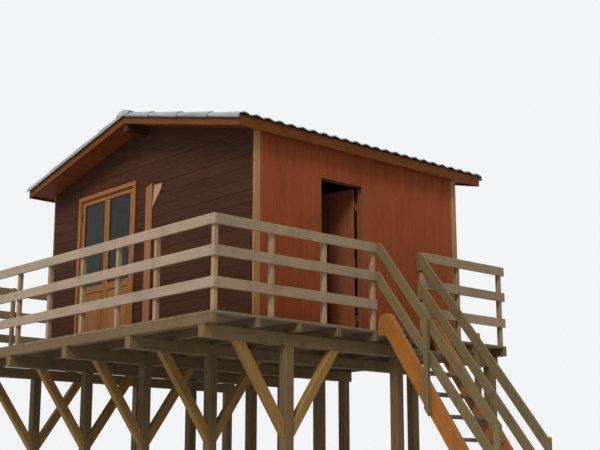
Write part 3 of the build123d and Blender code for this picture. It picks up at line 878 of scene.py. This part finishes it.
def roof_side(side, way, seed):
    """One slope: soffit boards, the core above them and the metal sheets."""
    low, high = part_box("roof_" + side + "_slope")
    rise = high.z - ridge_under
    thick = rise * roof_cos
    reach = high.x - ridge_x if way > 0 else ridge_x - low.x
    length = reach / roof_cos
    ridge = Vector((ridge_x, 0, ridge_under))
    down = Vector((way, 0, -roof_slope)).normalized()
    normal = Vector((way * roof_slope, 0, 1)).normalized()

    def lay(boards, first, last, bottom, top, inset=0.0, **options):
        """Board along the eave, between two distances from the ridge and two heights above the underside."""
        middle = ridge + down * ((first + last) / 2) + normal * ((bottom + top) / 2)
        start, end = middle.copy(), middle.copy()
        start.y, end.y = low.y + inset, high.y - inset
        boards.add(start, end, down * (last - first), normal * (top - bottom), **options)

    soffit = Boards(seed)
    for a, b in strips(0.0, length, SOFFIT_BOARD):
        lay(soffit, a, b, 0.0, SKIN)
    soffit.piece("roof_" + side + "_soffit", "soffit", "roof_boards", "roof_" + side + "_slope")
    core = Boards(seed + 2)
    lay(core, CORE_END, length - CORE_END, SKIN, thick, CORE_INSET, chamfer=SHARP_EDGE, bow=0.0)
    core.piece("roof_" + side + "_core", "timber", "roof_boards")
    roof_sheets(side, way, rise)


def edge_boards():
    """Boards over the roof's edges, hanging a little below the soffit; the barge boards meet at the ridge."""
    low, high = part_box("barge_boards")
    slab_low, slab_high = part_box("roof_right_slope")
    rise = slab_high.z - ridge_under
    lift = (rise - EDGE_HANG) / 2
    boards = Boards(85)
    for y0, y1 in ((low.y, slab_low.y), (slab_high.y, high.y)):
        y = (y0 + y1) / 2
        for x, way in ((low.x, -1), (high.x, 1)):
            start = Vector((ridge_x, y, ridge_under + lift))
            end = Vector((x, y, roof_under(x) + lift))
            outward = Vector((way, 0, 0))
            depth = Vector((roof_slope * way, 0, 1)).normalized() * (rise + EDGE_HANG) * roof_cos
            boards.add(start, end, depth, (0, y1 - y0, 0), start_cut=(start, outward), end_cut=(end, outward))
    boards.piece("barge_edge_boards", "barge", "varnished_wood", "barge_boards")
    boards = Boards(86)
    for low, high in solids("eave_boards"):
        boards.box((low.x, low.y, low.z - EDGE_HANG), high, "y")
    boards.piece("eave_edge_boards", "barge", "varnished_wood", "eave_boards")


def wave(v):
    """Rounded height of the sheet across the roof, lowest at the verge."""
    turn = 0.5 - 0.5 * math.cos(2 * math.pi * v / SHEET_WAVE)
    return WAVE_HEIGHT * turn ** 0.8


def grid_faces(base, rows, across):
    """Faces between points that lie row by row."""
    return [(a, a + 1, a + across + 1, a + across)
            for i in range(rows - 1) for a in range(base + i * across, base + (i + 1) * across - 1)]


def roof_sheets(side, way, rise):
    """Rows of waved metal sheets, lapped over the row below and turned down at their foot and the verges."""
    low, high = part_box("roof_" + side + "_covering")
    reach = high.x - ridge_x if way > 0 else ridge_x - low.x
    rows = math.ceil(reach / roof_cos / SHEET_ROW)
    columns = round((high.y - low.y) / (SHEET_WAVE / WAVE_COLUMNS))
    across = columns + 1
    shares = (0.0, 0.1, 0.4, 0.7, 1.0)
    points = []
    faces = []
    for row in range(rows):
        near = reach - row * SHEET_ROW * roof_cos
        far = max(0.0, near - (SHEET_ROW + SHEET_LAP) * roof_cos)
        base = len(points)
        for share in shares:
            x = ridge_x + way * (near + (far - near) * share)
            for j in range(across):
                y = low.y + (high.y - low.y) * j / columns
                lift = SHEET_LIFT + SHEET_STEP * (1.0 - share) + wave(y - low.y)
                points.append((x, y, roof_under(x) + rise + lift))
        faces += grid_faces(base, len(shares), across)
        foot = len(points)
        for x, y, z in points[base:base + across]:
            points.append((x + way * FOOT_OUT, y, z - SHEET_STEP + SHEET_LIFT))
        for j in range(columns):
            faces.append((base + j, base + j + 1, foot + j + 1, foot + j))
        for j, out in ((0, -1), (columns, 1)):
            foot = len(points)
            for i, share in enumerate(shares):
                x, y, z = points[base + i * across + j]
                drop = VERGE_DROP + VERGE_STEP * (1.0 - share)
                points.append((x, y + out * VERGE_FLARE * (1.0 - share), roof_under(x) + rise - drop))
            for i in range(len(shares) - 1):
                a, b = base + i * across + j, base + (i + 1) * across + j
                faces.append((a, b, foot + i + 1, foot + i))
    name = "roof_" + side + "_sheets"
    mesh = mesh_of(name, points, faces)
    shape = bmesh.new()
    shape.from_mesh(mesh)
    bmesh.ops.recalc_face_normals(shape, faces=shape.faces)
    for group in groups(shape):
        sheet = {f for v in group for f in v.link_faces}
        if sum(f.normal.z for f in sheet) < 0:
            bmesh.ops.reverse_faces(shape, faces=list(sheet))
    shape.to_mesh(mesh)
    shape.free()
    made = settle(name, mesh, "roof", ("roof_" + side + "_covering",))
    finish_sheet(made, SHEET_THICK, 35.0)


def finish_sheet(piece, thickness, degrees):
    """Thickness below a sheet's surface, and smooth shading where it bends less than some degrees."""
    solid = piece.modifiers.new("thickness", "SOLIDIFY")
    solid.thickness = thickness
    solid.offset = -1.0
    shape = bmesh.new()
    shape.from_mesh(piece.data)
    for face in shape.faces:
        face.smooth = True
    for link in shape.edges:
        if len(link.link_faces) == 2 and link.calc_face_angle(0.0) > math.radians(degrees):
            link.smooth = False
    shape.to_mesh(piece.data)
    shape.free()


def cap_section(half, drop):
    """Section of the ridge cap from its top: a rounded arch with a rolled rim at each side."""
    arch = []
    for i in range(CAP_ARC + 1):
        across = -1 + 2 * i / CAP_ARC
        arch.append((half * across * CAP_WIDTH, -drop * abs(across) ** CAP_CURVE))
    rim = [(half * 0.97, -drop - 0.004), (half, -drop - 0.001), (half * 0.985, -drop + 0.006)]
    return [(-x, z) for x, z in reversed(rim)] + arch + rim, len(rim)


def ridge_cap():
    """Rounded ridge pieces with rolled rims, lapped along the ridge and closed at the ends and sides."""
    low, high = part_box("ridge_cap")
    half = (high.x - low.x) / 2
    top = high.z - CAP_SINK
    drop = top - low.z + CAP_TUCK
    rim_z = top - drop
    pitch = (high.y - low.y - CAP_LAP) / CAP_PIECES
    section, rim = cap_section(half, drop)
    across = len(section)
    points = []
    faces = []
    for k in range(CAP_PIECES):
        is_first, is_last = k == 0, k == CAP_PIECES - 1
        y0 = low.y + k * pitch
        y1 = y0 + pitch + CAP_LAP
        first = y0 - CAP_PAST if is_first else y0
        last = y1 + CAP_PAST if is_last else y1
        dip = 0.0 if is_last else -CAP_DIP
        base = len(points)
        rings = ((first, 0.0), (y0 + CAP_RING, CAP_ROLL), (y0 + 2 * CAP_RING, 0.0), (y0 + 3 * CAP_RING, 0.0),
                 (last - CAP_RING, dip), (last, dip))
        for y, lift in rings:
            points += [(ridge_x + x, y, top + z + lift) for x, z in section]
        faces += grid_faces(base, len(rings), across)
        for ring, y, shown in ((0, first, is_first), (len(rings) - 1, last, is_last)):
            if shown:
                foot = len(points)
                arch = [base + ring * across + j for j in range(rim, across - rim)]
                points += [(ridge_x + x * half * CAP_WIDTH, y, rim_z - END_PLATE) for x in (1, -1)]
                faces.append(tuple(arch + [foot, foot + 1]))
    for side in (-1, 1):
        x = ridge_x + side * half * SIDE_STRIP
        foot = len(points)
        for z in (rim_z + SIDE_STRIP_TOP, rim_z - SIDE_STRIP_FOOT):
            points += [(x, low.y, z), (x, high.y, z)]
        faces.append((foot, foot + 1, foot + 3, foot + 2))
    mesh = mesh_of("ridge_pieces", points, faces)
    made = settle("ridge_pieces", mesh, "roof", ("ridge_cap",))
    finish_sheet(made, CAP_THICK, 40.0)


# Railing and stair
def railing():
    """Rail boards, posts and the screws that hold them."""
    dress("front_rails", "front_rail_boards", "rail_board", seed=91)
    dress("side_rails", "side_rail_boards", "side_rail", seed=92)
    dress("railing_posts", "railing_post_timbers", "rail_post", seed=93)
    posts = solids("railing_posts")
    points = []
    faces = []
    for low, high in solids("front_rails") + solids("side_rails"):
        along_x = high.x - low.x > high.y - low.y
        for post_low, post_high in posts:
            middle = (post_low + post_high) / 2
            beside = min(abs(post_high.x - low.x), abs(post_low.x - high.x)) < TOUCH
            if along_x and abs(post_low.y - high.y) < TOUCH:
                place, out = Vector((middle.x, low.y, 0)), Vector((0, -1, 0))
            elif not along_x and beside and low.y - 0.01 < middle.y < high.y + 0.01:
                way = 1 if middle.x < low.x else -1
                place, out = Vector((high.x if way > 0 else low.x, middle.y, 0)), Vector((way, 0, 0))
            else:
                continue
            for step in (-SCREW_OFF_MIDDLE, SCREW_OFF_MIDDLE):
                place.z = (low.z + high.z) / 2 + step
                stud(points, faces, place, out)
    settle("rail_screws", mesh_of("rail_screws", points, faces), "steel")


def stud(points, faces, centre, out):
    """Low round screw head on a face."""
    side = out.cross(Vector((0, 0, 1))).normalized()
    up = side.cross(out)
    base = len(points)
    for size, lift in ((1.0, -0.001), (1.0, SCREW_HEIGHT * 0.4), (0.6, SCREW_HEIGHT)):
        radius = SCREW_RADIUS * size
        for i in range(SCREW_SIDES):
            angle = 2 * math.pi * i / SCREW_SIDES
            spoke = side * radius * math.cos(angle) + up * radius * math.sin(angle)
            points.append(centre + spoke + out * lift)
    for ring in (base, base + SCREW_SIDES):
        for i in range(SCREW_SIDES):
            j = (i + 1) % SCREW_SIDES
            faces.append((ring + i, ring + j, ring + SCREW_SIDES + j, ring + SCREW_SIDES + i))
    faces.append(tuple(base + 2 * SCREW_SIDES + i for i in range(SCREW_SIDES)))


def stair():
    """Stringers, treads, rails and posts."""
    dress("stair_stringers", "stair_stringer_boards", "varnish", SOFT_EDGE, 101, segments=2)
    dress("stair_treads", "stair_tread_boards", "tread", PLANED_EDGE, 102)
    dress("stair_rails", "stair_rail_boards", "stair_rail", seed=103)
    dress("stair_posts", "stair_post_timbers", "stair_rail", seed=104)


def fittings():
    """Hinges, handle and panes keep the shape of their nodes."""
    for node in ("left_leaf_hinges", "right_leaf_hinges", "front_door_hinge_posts", "door_handle",
                 "side_door_hinges", "side_door_hinge_posts"):
        paint(node, "steel")
    paint("left_leaf_glass", "glass")
    paint("right_leaf_glass", "glass")


def paint(node, material):
    """Give a node of the frame its finish."""
    piece = frame["nodes"][node]
    if not piece.material_slots:
        piece.data.materials.append(materials[material])
    for slot in piece.material_slots:
        slot.material = materials[material]


# Camera, light and floor
def camera():
    """Camera at the photograph's place, from the right of the front and below the deck."""
    data = bpy.data.cameras.new("camera")
    data.lens = CAMERA_LENS
    data.sensor_width = 36.0
    made = bpy.data.objects.new("camera", data)
    scene.collection.objects.link(made)
    made.location = Vector((deck_high.x, deck_low.y, deck_top)) + Vector(CAMERA_PLACE)
    turn, tilt = math.radians(CAMERA_TURN), math.radians(CAMERA_TILT)
    look = Vector((-math.sin(turn) * math.cos(tilt), math.cos(turn) * math.cos(tilt), math.sin(tilt)))
    made.rotation_mode = "QUATERNION"
    made.rotation_quaternion = look.to_track_quat("-Z", "Y")
    scene.camera = made


def sun(name, energy, degrees, toward):
    """Soft light from far away."""
    data = bpy.data.lights.new(name, "SUN")
    data.energy = energy
    data.angle = math.radians(degrees)
    made = bpy.data.objects.new(name, data)
    made.rotation_mode = "QUATERNION"
    made.rotation_quaternion = Vector(toward).to_track_quat("-Z", "Y")
    scene.collection.objects.link(made)


def lights():
    """Soft key, soft fill and an even world that camera, gloss and glass see as pale."""
    sun("key", 2.2, 18.0, (-0.45, 0.80, -0.75))
    sun("fill", 0.6, 60.0, (0.8, 0.35, -0.3))
    world = bpy.data.worlds.new("world")
    scene.world = world
    world.use_nodes = True
    nodes, links = world.node_tree.nodes, world.node_tree.links
    path = nodes.new("ShaderNodeLightPath")
    seen = path.outputs["Is Camera Ray"]
    for ray in ("Is Glossy Ray", "Is Transmission Ray"):
        either = nodes.new("ShaderNodeMath")
        either.operation = "MAXIMUM"
        links.new(seen, either.inputs[0])
        links.new(path.outputs[ray], either.inputs[1])
        seen = either.outputs[0]
    strength = nodes.new("ShaderNodeMapRange")
    strength.inputs["To Min"].default_value = 0.48
    strength.inputs["To Max"].default_value = 0.92
    links.new(seen, strength.inputs["Value"])
    background = nodes["Background"]
    background.inputs["Color"].default_value = (0.97, 0.98, 1.0, 1.0)
    links.new(strength.outputs[0], background.inputs["Strength"])


def ground():
    """Plain pale floor."""
    reach = 60.0
    corners = [(-reach, -reach, 0), (reach, -reach, 0), (reach, reach, 0), (-reach, reach, 0)]
    mesh = mesh_of("studio_floor", corners, [(0, 1, 2, 3)])
    floor = bpy.data.objects.new("studio_floor", mesh)
    scene.collection.objects.link(floor)
    mesh.materials.append(Tree("studio floor").surface({"Base Color": (0.74, 0.74, 0.73, 1.0),
                                                        "Roughness": 0.9}))


camera()
lights()
ground()
platform()
gable_walls()
side_walls()
sunlit_patch_boards()
double_door()
side_door()
roof()
railing()
stair()
fittings()
